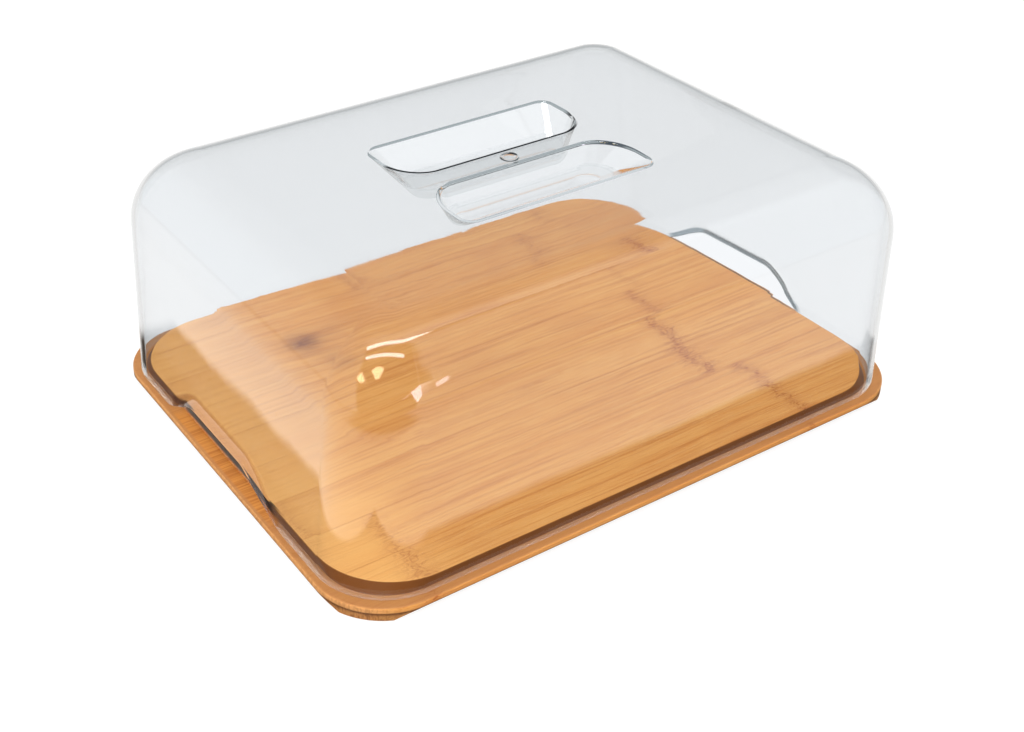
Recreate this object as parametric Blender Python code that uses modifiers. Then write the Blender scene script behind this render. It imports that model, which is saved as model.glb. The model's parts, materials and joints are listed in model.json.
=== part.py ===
"""Cheese dome: a laminated bamboo board with a raised serving plateau, and a
one-piece clear moulded cover that stands on the rebated ledge round it.

Metres, +Z up. The origin is at the centre of the board's underside. X runs
along the board's long side, and the bamboo grain follows it.
"""

import math

import bmesh
import bpy

MM = 0.001

# Board
GAP = 0.3 * MM  # glue line between laminations, and seat clearance
BOARD_W = 300.0 * MM
BOARD_D = 232.0 * MM
BOARD_R = 32.0 * MM  # plan radius of the corners
LAYER_Z = 3.6 * MM  # joint between the lower and the upper lamination
LEDGE_Z = 6.3 * MM  # top of the ledge the cover stands on
LEDGE_EDGE = 1.5 * MM  # rounding of the ledge's outer edge
UNDERCUT = 3.2 * MM  # how far the undersides are bevelled inwards

PLATEAU_W = 285.4 * MM
PLATEAU_D = 218.0 * MM
PLATEAU_R = 27.0 * MM
PLATEAU_BASE_Z = LAYER_Z + 1.2 * MM  # buried in the ledge slab
TOP_Z = 11.1 * MM  # serving surface
PLATEAU_EDGE = 0.6 * MM

STRIPS = 9  # equal strips across the board; the lower layer is half a pitch out of step
PITCH = BOARD_D / STRIPS
SPARE = 2.0 * MM  # strip stock beyond the board's outer faces, trimmed off
JOINT_SPARE = 1.0 * MM  # stock beyond the layer joint, trimmed off

# Cover
WALL = 2.0 * MM
FOOT_W = 294.4 * MM
FOOT_D = 225.0 * MM
FOOT_R = 32.5 * MM
FOOT_Z = LEDGE_Z + GAP
COVER_TOP = 114.2 * MM
COVER_H = COVER_TOP - LEDGE_Z
DRAFT_X = math.atan(7.0 * MM / COVER_H)  # lean of the short walls
DRAFT_Y = math.atan(3.5 * MM / COVER_H)  # lean of the long walls
SHOULDER = 33.5 * MM  # rounding between walls and top panel
SHOULDER_Z = COVER_TOP - SHOULDER  # height of the rounding's centre
SHOULDER_R = 27.3 * MM  # plan radius of the corners at that height
PANEL_R = 4.0 * MM  # plan radius of the flat panel's corners

NOTCH_H = 17.0 * MM  # finger notch in the foot of each short wall
NOTCH_FLAT = 30.0 * MM  # half length of its flat top
NOTCH_END = 52.0 * MM  # half length at the foot

# Grip pockets, one on each side of the bridge along the panel's centre line
POCKET_DEPTH = 14.0 * MM
LIP_R = 2.6 * MM
FLOOR_FILLET = 2.5 * MM
# near and far are Y distances from the centre line
POCKET_MOUTH = dict(
    half_x=49.3 * MM, near=6.9 * MM, far=40.4 * MM,
    near_rx=16 * MM, near_ry=20 * MM, far_r=6 * MM,
)
POCKET_FLOOR = dict(
    half_x=38.5 * MM, near=8.6 * MM, far=18.5 * MM,
    near_rx=8 * MM, near_ry=6.5 * MM, far_r=2.8 * MM,
)

GATE_R = 3.6 * MM  # moulding gate mark on the bridge
GATE_FLOOR_R = GATE_R - 0.8 * MM
GATE_DEPTH = 0.5 * MM

# Segment counts
SLAB_CORNER_STEPS = 8
EDGE_STEPS = 2
COVER_CORNER_STEPS = 6
WALL_STEPS = 3
SHOULDER_STEPS = 6
NOTCH_STEPS = 6
POCKET_CORNER_STEPS = 5
LIP_STEPS = 3
FILLET_STEPS = 2
GATE_STEPS = 12

# X and Y signs of the corners, anticlockwise from +X +Y
CORNER_SIGNS = ((1, 1), (-1, 1), (-1, -1), (1, -1))


# ------------------------------------------------------------ scene helpers
def new_collection(name):
    made = bpy.data.collections.new(name)
    bpy.context.scene.collection.children.link(made)
    return made


def material(name, colour, roughness, alpha=1.0):
    made = bpy.data.materials.new(name)
    made.use_nodes = True
    shader = made.node_tree.nodes["Principled BSDF"]
    shader.inputs["Base Color"].default_value = (*colour, 1.0)
    shader.inputs["Roughness"].default_value = roughness
    shader.inputs["Alpha"].default_value = alpha
    return made


def mesh_object(name, bm, group):
    bmesh.ops.recalc_face_normals(bm, faces=bm.faces)
    mesh = bpy.data.meshes.new(name)
    bm.to_mesh(mesh)
    bm.free()
    made = bpy.data.objects.new(name, mesh)
    group.objects.link(made)
    return made


def cutter_object(name, bm):
    made = mesh_object(name, bm, cutters)
    made.hide_render = True
    made.display_type = "WIRE"
    return made


def boolean(target, tool, operation):
    cut = target.modifiers.new(tool.name, "BOOLEAN")
    cut.operation = operation
    cut.object = tool
    cut.solver = "EXACT"


def evaluated_bmesh(source):
    """The object's shape with its modifiers, in world space."""
    bpy.context.view_layer.update()
    graph = bpy.context.evaluated_depsgraph_get()
    mesh = bpy.data.meshes.new_from_object(source.evaluated_get(graph))
    mesh.transform(source.matrix_world)
    bm = bmesh.new()
    bm.from_mesh(mesh)
    bpy.data.meshes.remove(mesh)
    return bm


def corner_arc(quarter, centre_x, centre_y, radius_x, radius_y, steps):
    """A quarter of an ellipse, anticlockwise; quarter 0 starts at +X."""
    angles = [math.pi / 2 * (quarter + step / steps) for step in range(steps + 1)]
    return [
        (centre_x + radius_x * math.cos(angle), centre_y + radius_y * math.sin(angle))
        for angle in angles
    ]


# --------------------------------------------------------- laminated board
def rounded_slab(name, width, depth, radius, low, high, edge=0.0):
    """A flat curve outline with rounded corners, extruded, with its top edge eased."""
    curve = bpy.data.curves.new(name, "CURVE")
    curve.dimensions = "2D"
    curve.fill_mode = "BOTH"
    curve.extrude = (high - low) / 2
    points = []
    for quarter, (sign_x, sign_y) in enumerate(CORNER_SIGNS):
        centre_x = sign_x * (width / 2 - radius)
        centre_y = sign_y * (depth / 2 - radius)
        points += corner_arc(quarter, centre_x, centre_y, radius, radius, SLAB_CORNER_STEPS)
    spline = curve.splines.new("POLY")
    spline.points.add(len(points) - 1)
    for point, (x, y) in zip(spline.points, points):
        point.co = (x, y, 0.0, 1.0)
    spline.use_cyclic_u = True
    outline = bpy.data.objects.new(name + "_outline", curve)
    cutters.objects.link(outline)
    outline.location.z = (low + high) / 2
    bm = evaluated_bmesh(outline)
    bpy.data.objects.remove(outline, do_unlink=True)

    # The curve's caps and sides come unjoined and triangulated.
    bmesh.ops.remove_doubles(bm, verts=bm.verts, dist=0.01 * MM)
    bmesh.ops.dissolve_limit(
        bm, angle_limit=math.radians(0.5), verts=bm.verts, edges=bm.edges
    )
    if edge:
        rim = [e for e in bm.edges if all(abs(v.co.z - high) < 0.001 * MM for v in e.verts)]
        bmesh.ops.bevel(
            bm, geom=rim, offset=edge, segments=EDGE_STEPS, affect="EDGES", profile=0.5
        )
    return cutter_object(name, bm)


def layer_outline(name, slab, tool, operation):
    """Combines a slab with a tool into the solid a layer's strips are trimmed to."""
    boolean(slab, tool, operation)
    outline = cutter_object(name, evaluated_bmesh(slab))
    bpy.data.objects.remove(slab, do_unlink=True)
    return outline


def upper_layer_outline():
    """The ledge slab with the plateau standing on it."""
    ledge = rounded_slab(
        "upper_ledge", BOARD_W, BOARD_D, BOARD_R, LAYER_Z + GAP / 2, LEDGE_Z, LEDGE_EDGE
    )
    plateau = rounded_slab(
        "plateau", PLATEAU_W, PLATEAU_D, PLATEAU_R, PLATEAU_BASE_Z, TOP_Z, PLATEAU_EDGE
    )
    return layer_outline("upper_layer_outline", ledge, plateau, "UNION")


def undercut_planes():
    """A frustum that narrows downwards and meets the board's size at the layer joint."""
    slope = UNDERCUT / LAYER_Z
    bm = bmesh.new()
    bmesh.ops.create_cube(bm, size=1.0)
    for vert in bm.verts:
        z = LAYER_Z + JOINT_SPARE if vert.co.z > 0 else -JOINT_SPARE
        outward = (z - LAYER_Z) * slope
        vert.co.x = math.copysign(BOARD_W / 2 + outward, vert.co.x)
        vert.co.y = math.copysign(BOARD_D / 2 + outward, vert.co.y)
        vert.co.z = z
    return cutter_object("undercut_planes", bm)


def lower_layer_outline():
    slab = rounded_slab("lower_slab", BOARD_W, BOARD_D, BOARD_R, 0.0, LAYER_Z - GAP / 2)
    return layer_outline("lower_layer_outline", slab, undercut_planes(), "INTERSECT")


def strip(name, low_y, high_y, low_z, high_z, outline, bamboo):
    """A planed strip of bamboo, trimmed to the layer's outline."""
    size = (BOARD_W + 2 * SPARE, high_y - low_y, high_z - low_z)
    bm = bmesh.new()
    bmesh.ops.create_cube(bm, size=1.0)
    for vert in bm.verts:
        vert.co = [unit * length for unit, length in zip(vert.co, size)]
    made = mesh_object(name, bm, parts)
    made.data.materials.append(bamboo)
    made.location = (0.0, (low_y + high_y) / 2, (low_z + high_z) / 2)
    boolean(made, outline, "INTERSECT")


def upper_strips(outline):
    """Strips glued edge to edge; the outermost two run past the board's sides."""
    bamboo = material("bamboo", colour=(0.72, 0.45, 0.20), roughness=0.45)
    for index in range(STRIPS):
        start = -BOARD_D / 2 + index * PITCH
        low_y = start + (GAP / 2 if index else -SPARE)
        high_y = start + PITCH + (-GAP / 2 if index < STRIPS - 1 else SPARE)
        strip(
            f"upper_strip_{index + 1}",
            low_y, high_y, LAYER_Z - JOINT_SPARE, TOP_Z + SPARE, outline, bamboo,
        )


def lower_strips(outline):
    """Half a pitch out of step, so one more strip, with the outer two cut to half."""
    bamboo = material("bamboo_underside", colour=(0.62, 0.37, 0.16), roughness=0.5)
    for index in range(STRIPS + 1):
        start = -BOARD_D / 2 + (index - 0.5) * PITCH
        low_y = start + GAP / 2
        high_y = start + PITCH - GAP / 2
        strip(
            f"lower_strip_{index + 1}",
            low_y, high_y, -SPARE, LAYER_Z + JOINT_SPARE, outline, bamboo,
        )


# -------------------------------------------------- cover walls and shoulder
def half_size(z, foot_half, draft):
    """Half the cover's width or depth at a height: a drafted wall, then the shoulder."""
    meet_z = SHOULDER_Z + SHOULDER * math.sin(draft)
    if z <= meet_z:
        return foot_half - (z - FOOT_Z) * math.tan(draft)
    meet = foot_half - (meet_z - FOOT_Z) * math.tan(draft)
    rise = min(z - SHOULDER_Z, SHOULDER)
    return meet - SHOULDER * math.cos(draft) + math.sqrt(SHOULDER**2 - rise**2)


def half_width(z):
    return half_size(z, FOOT_W / 2, DRAFT_X)


def half_depth(z):
    return half_size(z, FOOT_D / 2, DRAFT_Y)


def corner_radius(z):
    if z <= SHOULDER_Z:
        share = (z - FOOT_Z) / (SHOULDER_Z - FOOT_Z)
        return FOOT_R + (SHOULDER_R - FOOT_R) * share
    rise = min(z - SHOULDER_Z, SHOULDER)
    inset = 1 - math.sqrt(1 - (rise / SHOULDER) ** 2)
    return SHOULDER_R + (PANEL_R - SHOULDER_R) * inset


def notch_rise(y):
    """How far the foot is raised at this place along a short wall."""
    share = (NOTCH_END - abs(y)) / (NOTCH_END - NOTCH_FLAT)
    share = min(1.0, max(0.0, share))
    return NOTCH_H * share * share * (3 - 2 * share)


def wall_ring(share, top_z):
    """A closed section, this share of the way from the notched foot up to top_z."""

    def height(foot_z):
        return foot_z + (top_z - foot_z) * share

    notch_ys = sorted(
        side * (NOTCH_FLAT + (NOTCH_END - NOTCH_FLAT) * step / NOTCH_STEPS)
        for side in (-1, 1)
        for step in range(NOTCH_STEPS + 1)
    )
    z = height(FOOT_Z)
    radius = corner_radius(z)
    points = []
    for quarter, (sign_x, sign_y) in enumerate(CORNER_SIGNS):
        centre_x = sign_x * (half_width(z) - radius)
        centre_y = sign_y * (half_depth(z) - radius)
        arc = corner_arc(quarter, centre_x, centre_y, radius, radius, COVER_CORNER_STEPS)
        points += [(x, y, z) for x, y in arc]
        # A short wall follows the second corner (-X side) and the fourth (+X side).
        if quarter in (1, 3):
            for y in notch_ys[::-1] if quarter == 1 else notch_ys:
                wall_z = height(FOOT_Z + notch_rise(y))
                points.append((sign_x * half_width(wall_z), y, wall_z))
    return points


def wall_rings():
    """Sections from the foot up the walls and over the shoulder to the flat panel."""
    rings = [wall_ring(step / WALL_STEPS, SHOULDER_Z) for step in range(WALL_STEPS + 1)]
    for step in range(1, SHOULDER_STEPS + 1):
        top_z = SHOULDER_Z + SHOULDER * math.sin(math.pi / 2 * step / SHOULDER_STEPS)
        rings.append(wall_ring(1, top_z))
    return rings


# ------------------------------------------------- grip pockets and gate mark
def pocket_outline(half_x, near, far, near_rx, near_ry, far_r):
    """A D-like outline: wide curves towards the bridge, tight ones on the far side."""
    points = []
    for quarter, (sign_x, sign_y) in enumerate(CORNER_SIGNS):
        if sign_y > 0:
            radius_x, radius_y, centre_y = far_r, far_r, far - far_r
        else:
            radius_x, radius_y, centre_y = near_rx, near_ry, near + near_ry
        centre_x = sign_x * (half_x - radius_x)
        points += corner_arc(
            quarter, centre_x, centre_y, radius_x, radius_y, POCKET_CORNER_STEPS
        )
    return points


def pocket_profile(run):
    """(distance inwards from the mouth, drop) over the lip, down the wall, into the floor."""
    slope = math.atan2(POCKET_DEPTH, run)
    lip_start = -LIP_R * math.tan(slope / 2)
    fillet_end = run + FLOOR_FILLET * math.tan(slope / 2)
    profile = []
    for step in range(LIP_STEPS + 1):
        turn = slope * step / LIP_STEPS
        drop = LIP_R * (1 - math.cos(turn))
        profile.append((lip_start + LIP_R * math.sin(turn), drop))
    for step in range(FILLET_STEPS + 1):
        turn = slope * (1 - step / FILLET_STEPS)
        drop = POCKET_DEPTH - FLOOR_FILLET * (1 - math.cos(turn))
        profile.append((fillet_end - FLOOR_FILLET * math.sin(turn), drop))
    return profile


def pocket_rings(side):
    """Sections of the pocket on the +Y (side 1) or -Y (side -1) side of the bridge."""
    columns = []
    mouth = pocket_outline(**POCKET_MOUTH)
    floor = pocket_outline(**POCKET_FLOOR)
    for (mouth_x, mouth_y), (floor_x, floor_y) in zip(mouth, floor):
        run = math.hypot(floor_x - mouth_x, floor_y - mouth_y)
        step_x = (floor_x - mouth_x) / run
        step_y = (floor_y - mouth_y) / run
        columns.append(
            [
                (mouth_x + step_x * along, side * (mouth_y + step_y * along), COVER_TOP - drop)
                for along, drop in pocket_profile(run)
            ]
        )
    return list(zip(*columns))


def gate_ring(radius, z):
    angles = [math.tau * step / GATE_STEPS for step in range(GATE_STEPS)]
    return [(radius * math.cos(angle), radius * math.sin(angle), z) for angle in angles]


# ------------------------------------------------------------ cover assembly
def add_rings(bm, rings):
    """Bridges successive sections with quads and returns the first and last loops."""
    loops = [[bm.verts.new(point) for point in ring] for ring in rings]
    for low, high in zip(loops, loops[1:]):
        for index in range(len(low)):
            after = (index + 1) % len(low)
            bm.faces.new((low[index], low[after], high[after], high[index]))
    return loops[0], loops[-1]


def loop_edges(bm, loop):
    return [bm.edges.get(pair) for pair in zip(loop, loop[1:] + loop[:1])]


def cover_shell():
    """The cover's outer skin, open at the foot."""
    shell = bmesh.new()
    _, panel_loop = add_rings(shell, wall_rings())
    edges = loop_edges(shell, panel_loop)
    gate = [gate_ring(GATE_R, COVER_TOP), gate_ring(GATE_FLOOR_R, COVER_TOP - GATE_DEPTH)]
    for rings in (pocket_rings(1), pocket_rings(-1), gate):
        rim_loop, floor_loop = add_rings(shell, rings)
        edges += loop_edges(shell, rim_loop)
        shell.faces.new(floor_loop)
    # The flat panel fills the space between the shoulder and the recesses.
    bmesh.ops.triangle_fill(shell, edges=edges, use_beauty=True)

    # The skin is open, so make sure its normals face outwards: the wall goes inside.
    bmesh.ops.recalc_face_normals(shell, faces=shell.faces)
    top_face = max(shell.faces, key=lambda face: face.calc_center_median().z)
    if top_face.normal.z < 0:
        bmesh.ops.reverse_faces(shell, faces=shell.faces)
    return shell


def build_cover():
    shell = cover_shell()
    mesh = bpy.data.meshes.new("cover")
    shell.to_mesh(mesh)
    shell.free()
    mesh.materials.append(
        material("clear_plastic", colour=(0.95, 0.97, 0.98), roughness=0.03, alpha=0.35)
    )
    cover = bpy.data.objects.new("cover", mesh)
    parts.objects.link(cover)
    thick = cover.modifiers.new("wall", "SOLIDIFY")
    thick.thickness = WALL
    thick.offset = -1.0
    thick.use_even_offset = True
    thick.use_rim = True
    mesh.shade_smooth()
    mesh.set_sharp_from_angle(angle=math.radians(35))

    # The cover lifts straight up off the ledge: its parent sits on that axis.
    lift_axis = bpy.data.objects.new("lift_axis", None)
    parts.objects.link(lift_axis)
    cover.parent = lift_axis


for old in list(bpy.data.objects):
    bpy.data.objects.remove(old, do_unlink=True)

parts = new_collection("cheese_dome")
cutters = new_collection("cutters")
upper_strips(upper_layer_outline())
lower_strips(lower_layer_outline())
build_cover()
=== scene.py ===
"""Cheese dome: a laminated bamboo board under a clear moulded cover.

The board's long side runs along X, its front faces -Y and its underside is at z = 0.
It has two layers of strips, and the upper one is milled to a plateau inside a ledge.
The cover's foot stands just above the ledge. It has a finger notch in each short
wall (-X and +X) and two pockets in its top, with a bridge between them along X.
Lengths are in metres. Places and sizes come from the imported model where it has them.
"""

import json
import math
from types import SimpleNamespace

import bmesh
import bpy
from mathutils import Matrix, Vector

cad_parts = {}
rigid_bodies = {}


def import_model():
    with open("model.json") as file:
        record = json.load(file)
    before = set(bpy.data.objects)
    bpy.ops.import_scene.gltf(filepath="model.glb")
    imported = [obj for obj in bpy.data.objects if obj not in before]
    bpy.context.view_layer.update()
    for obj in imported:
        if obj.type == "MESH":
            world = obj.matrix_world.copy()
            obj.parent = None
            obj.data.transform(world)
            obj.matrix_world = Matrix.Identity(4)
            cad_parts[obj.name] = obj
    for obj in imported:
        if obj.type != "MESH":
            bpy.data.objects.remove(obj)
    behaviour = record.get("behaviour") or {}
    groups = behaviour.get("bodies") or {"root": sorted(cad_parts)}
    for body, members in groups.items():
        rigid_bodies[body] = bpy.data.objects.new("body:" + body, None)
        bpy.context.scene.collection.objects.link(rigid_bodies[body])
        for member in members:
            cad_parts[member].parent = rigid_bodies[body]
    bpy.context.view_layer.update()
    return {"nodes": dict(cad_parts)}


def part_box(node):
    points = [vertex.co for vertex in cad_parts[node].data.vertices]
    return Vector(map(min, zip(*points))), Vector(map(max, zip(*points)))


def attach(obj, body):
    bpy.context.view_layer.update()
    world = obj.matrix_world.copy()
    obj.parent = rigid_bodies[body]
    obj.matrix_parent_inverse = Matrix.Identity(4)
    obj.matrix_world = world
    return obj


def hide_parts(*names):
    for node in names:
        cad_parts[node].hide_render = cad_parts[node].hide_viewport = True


MM = 0.001
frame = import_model()

# ------------------------------------------------------------------- sizes
UPPER_COUNT = sum(name.startswith("upper_strip_") for name in frame["nodes"])
LOWER_COUNT = sum(name.startswith("lower_strip_") for name in frame["nodes"])
first_low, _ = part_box("upper_strip_1")
_, last_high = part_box(f"upper_strip_{UPPER_COUNT}")
middle_low, middle_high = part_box(f"upper_strip_{(UPPER_COUNT + 1) // 2}")
cover_low, cover_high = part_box("cover")

GAP = 0.3 * MM  # between the layers, and between the ledge and the cover
BOARD_W = middle_high.x - middle_low.x
BOARD_D = last_high.y - first_low.y
STRIP_PITCH = BOARD_D / UPPER_COUNT
TOP_Z = middle_high.z
LAYER_Z = middle_low.z - GAP / 2
FOOT_W = cover_high.x - cover_low.x
FOOT_D = cover_high.y - cover_low.y
FOOT_Z = cover_low.z
COVER_TOP = cover_high.z
LEDGE_Z = FOOT_Z - GAP

BOARD_R = 32.0 * MM
PLATEAU_W = 285.4 * MM
PLATEAU_D = 218.0 * MM
PLATEAU_R = 27.0 * MM  # at the ledge; the milled wall leans in at the corners
PLATEAU_TOP_R = 34.0 * MM
PLATEAU_ROOT = 1.2 * MM  # the plateau's solid starts this far above the layer joint
PLATEAU_LEAN_Z = 0.2 * MM  # its wall starts to lean this far above the ledge
RIM_EDGE = 1.1 * MM
PLATEAU_EDGE = 0.6 * MM
FOOT_EDGE = 0.35 * MM
JOINT_EDGE = 0.15 * MM  # edge radius at the joint between the layers
JOINT_GAP = 0.03 * MM  # from the joint to each layer
UNDERCUT = 3.2 * MM  # how far the lower layer slopes in at its foot
SEAM = 0.05 * MM  # visible hairline between glued strips
OVERLAP = 1 * MM  # cutting solids reach past the board by this or twice this

WALL = 2.0 * MM
FOOT_R = 32.5 * MM
DRAFT_X = math.atan(7.0 / 107.9)
DRAFT_Y = math.atan(3.5 / 107.9)
SHOULDER = 33.5 * MM
SHOULDER_Z = COVER_TOP - SHOULDER
SHOULDER_R = 27.3 * MM
PANEL_R = 4.0 * MM
NOTCH_H = 15.8 * MM
NOTCH_FLAT = 21.0 * MM  # half lengths along Y
NOTCH_END = 57.0 * MM
NOTCH_Y = 3.0 * MM
FLARE = 2.2 * MM  # the notch's edge turns out a little, as a finger lip
FLARE_H = 5.5 * MM
FLARE_GAIN = 1.3  # above 1, the flare is full before the notch is
POCKET_X = 49.3 * MM  # the pocket's mouth: half width, then nearest and farthest y
POCKET_IN = 6.9 * MM
POCKET_OUT = 40.4 * MM
MOUTH_NEAR_RX = 16 * MM
MOUTH_NEAR_RY = 20 * MM
MOUTH_FAR_R = 6 * MM
POCKET_DEPTH = 14.0 * MM
FLOOR_X = 38.5 * MM
FLOOR_IN = 8.6 * MM
FLOOR_OUT = 18.5 * MM
FLOOR_NEAR_RX = 8 * MM
FLOOR_NEAR_RY = 6.5 * MM
FLOOR_FAR_R = 2.8 * MM
LIP_R = 2.6 * MM
FLOOR_FILLET = 2.5 * MM
GATE_R = 3.6 * MM  # a small round recess in the middle of the top
GATE_DEPTH = 0.5 * MM

CORNER_STEPS = 28
SHOULDER_STEPS = 22
NOTCH_STEPS = 26
WALL_LEVELS = 15
POCKET_STEPS = 16
LIP_STEPS = 8
FILLET_STEPS = 7
GATE_STEPS = 40

made = bpy.data.collections.new("cheese_dome")
helpers = bpy.data.collections.new("helpers")
studio = bpy.data.collections.new("studio")
for group in (made, helpers, studio):
    bpy.context.scene.collection.children.link(group)


# ------------------------------------------------------------------- node helpers
class Tree:
    """A short way to write node trees. Values are sockets or plain numbers."""

    def __init__(self, tree):
        self.tree = tree

    def node(self, kind, **settings):
        new_node = self.tree.nodes.new(kind)
        for key, value in settings.items():
            setattr(new_node, key, value)
        return new_node

    def feed(self, socket, value):
        if isinstance(value, bpy.types.NodeSocket):
            self.tree.links.new(value, socket)
        else:
            socket.default_value = value

    def filled(self, kind, inputs, **settings):
        """The first output of a new node with these inputs."""
        new_node = self.node(kind, **settings)
        for key, value in inputs.items():
            self.feed(new_node.inputs[key], value)
        return new_node.outputs[0]

    def math(self, operation, *values, clamp=False):
        inputs = dict(enumerate(values))
        return self.filled("ShaderNodeMath", inputs, operation=operation, use_clamp=clamp)

    def add(self, first, second):
        return self.math("ADD", first, second)

    def subtract(self, first, second):
        return self.math("SUBTRACT", first, second)

    def divide(self, first, second):
        return self.math("DIVIDE", first, second)

    def maximum(self, first, second):
        return self.math("MAXIMUM", first, second)

    def absolute(self, value):
        return self.math("ABSOLUTE", value)

    def multiply_add(self, value, factor, addend):
        return self.math("MULTIPLY_ADD", value, factor, addend)

    def product(self, total, *factors):
        for factor in factors:
            total = self.math("MULTIPLY", total, factor)
        return total

    def ramp(self, value, start, end, to_start=0.0, to_end=1.0):
        """A smooth step: to_start where the value is start, to_end where it is end."""
        inputs = dict(enumerate((value, start, end, to_start, to_end)))
        kind = "ShaderNodeMapRange"
        return self.filled(kind, inputs, clamp=True, interpolation_type="SMOOTHSTEP")

    def band(self, value, first, second):
        """Two ramps over one value multiplied; each pair is (where 0, where 1)."""
        return self.product(self.ramp(value, *first), self.ramp(value, *second))

    def mix(self, factor, base, other):
        new_node = self.node("ShaderNodeMix", data_type="RGBA", blend_type="MIX")
        for index, value in ((0, factor), (6, base), (7, other)):
            self.feed(new_node.inputs[index], value)
        return new_node.outputs[2]

    def tint(self, base, mask, strength, target, clamp=False):
        """The base colour moved towards the target by mask times strength."""
        return self.mix(self.math("MULTIPLY", mask, strength, clamp=clamp), base, target)

    def mix_shader(self, factor, first, second):
        return self.filled("ShaderNodeMixShader", {0: factor, 1: first, 2: second})

    def noise(self, vector, scale, detail, roughness=0.5, offset=(0.0, 0.0, 0.0)):
        inputs = {"Vector": vector, "Location": offset, "Scale": scale}
        placed = self.filled("ShaderNodeMapping", inputs)
        inputs = {"Vector": placed, "Scale": 1.0, "Detail": detail, "Roughness": roughness}
        return self.filled("ShaderNodeTexNoise", inputs)

    def bump(self, height, strength, distance):
        inputs = {"Strength": strength, "Distance": distance, "Height": height}
        return self.filled("ShaderNodeBump", inputs)

    def coords(self, kind="Object"):
        return self.node("ShaderNodeTexCoord").outputs[kind]

    def split(self, vector):
        parts = self.node("ShaderNodeSeparateXYZ")
        self.feed(parts.inputs[0], vector)
        return parts.outputs

    def centred(self, value, reach):
        """Moves 0 to 1 noise to either side of zero and scales it."""
        return self.product(self.subtract(value, 0.5), reach)

    def offset(self, value, centre, width):
        return self.divide(self.subtract(value, centre), width)

    def bell(self, square):
        return self.math("POWER", math.e, self.product(square, -1.0))

    def gauss(self, value, centre, width):
        """1 at the centre, falling off over about this width each way."""
        away = self.offset(value, centre, width)
        return self.bell(self.product(away, away))

    def light_path(self):
        return self.node("ShaderNodeLightPath").outputs

    def bounced(self, path, kind, least):
        """1 for a ray with at least this many bounces of a kind."""
        return self.math("GREATER_THAN", path[f"{kind} Depth"], least - 0.5)

    def output(self, shader, kind="Material"):
        self.filled_output = self.node(f"ShaderNodeOutput{kind}")
        self.feed(self.filled_output.inputs[0], shader)


def new_material(name):
    material = bpy.data.materials.new(name)
    material.use_nodes = True
    material.node_tree.nodes.clear()
    return material, Tree(material.node_tree)


def rgb(red, green, blue):
    """A display colour, 0 to 255, as the linear colour a node takes."""

    def linear(value):
        value /= 255
        return value / 12.92 if value <= 0.04045 else ((value + 0.055) / 1.055) ** 2.4

    return (linear(red), linear(green), linear(blue), 1.0)


# ------------------------------------------------------------------- bamboo
# Each upper strip's node bands (x in mm, strength, width in mm), then the strip's
# tone: 0 is the board's usual honey colour, up is redder, down paler.
STRIPS = {
    1: (((-114, 0.80, 8), (87, 0.55, 6)), 0.06),
    2: (((-115, 0.60, 7), (86, 0.65, 6)), -0.02),
    3: (((-140, 0.45, 7), (72, 0.85, 7)), 0.04),
    4: (((75, 0.70, 7), (-178, 0.3, 6)), -0.06),
    5: (((84, 0.50, 7),), 0.02),
    6: (((93, 0.20, 6),), -0.05),
    7: (((122, 0.70, 9),), 0.05),
    8: (((72, 0.38, 9),), 0.12),
    9: (((-24, 0.50, 5), (96, 0.3, 7)), 0.08),
}
# Dark knots: x, y, half length and half width in mm, then strength.
KNOTS = [
    (-75.0, 58.5, 8.5, 7.5, 1.0),
    (-67.0, 40.0, 8.0, 7.0, 0.42),
    (-66.0, 62.0, 20.0, 9.0, 0.22),
]
KNOT_REACH = 20 * MM  # a strip farther from a knot than this leaves it out

UPPER_WOOD = SimpleNamespace(
    pale=rgb(206, 147, 77),
    middle=rgb(197, 130, 59),
    deep=rgb(170, 99, 35),
    band=rgb(158, 88, 36),
    end=rgb(196, 138, 80),
    pore_strength=0.35,
    joint_shade_width=0.45 * MM,  # of the painted shade at the glue line between the layers
    joint_shade_strength=0.6,
    roughness=0.36,
    bump=0.22,
)
# The lower layer is darker: partly its own tone, partly painted shade under the upper layer's
# overhang.
LOWER_WOOD_SHADED = SimpleNamespace(
    pale=rgb(168, 118, 62),
    middle=rgb(150, 98, 48),
    deep=rgb(118, 70, 30),
    band=rgb(120, 72, 32),
    end=rgb(164, 110, 56),
    pore_strength=0.75,
    joint_shade_width=0.9 * MM,
    joint_shade_strength=0.85,
    roughness=0.5,
    bump=0.4,
)
MIRRORED_WOOD = (0.50, 0.54, 0.56, 1.0)


def node_bands(tree, bands, moved_x, fleck, curls):
    """Ragged dark lines across the strip, with mottled flecks round them."""
    total = 0.0
    for centre, strength, width in bands:
        core = tree.gauss(moved_x, centre * MM, width * 0.30 * MM)
        halo = tree.gauss(moved_x, centre * MM, width * 0.80 * MM)
        mottle = tree.multiply_add(curls, factor=0.75, addend=0.08)
        mottle = tree.multiply_add(fleck, factor=0.45, addend=mottle)
        curled = tree.multiply_add(curls, factor=0.45, addend=0.30)
        body = tree.add(tree.product(core, curled), tree.product(halo, mottle))
        total = tree.multiply_add(body, strength, total)
    return total


def knot_spots(tree, x, y, x_shift, y_shift, fleck, seam_low, seam_high):
    total = 0.0
    for knot_x, knot_y, half_x, half_y, strength in KNOTS:
        if not seam_low - KNOT_REACH < knot_y * MM < seam_high + KNOT_REACH:
            continue
        moved_x = tree.multiply_add(x_shift, factor=0.7, addend=x)
        moved_y = tree.multiply_add(y_shift, factor=0.8, addend=y)
        away_x = tree.offset(moved_x, knot_x * MM, half_x * MM)
        away_y = tree.offset(moved_y, knot_y * MM, half_y * MM)
        square = tree.add(tree.product(away_x, away_x), tree.product(away_y, away_y))
        speckled = tree.multiply_add(fleck, factor=0.35, addend=0.65)
        spot = tree.product(tree.bell(square), speckled)
        total = tree.multiply_add(spot, strength, total)
    return total


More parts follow.
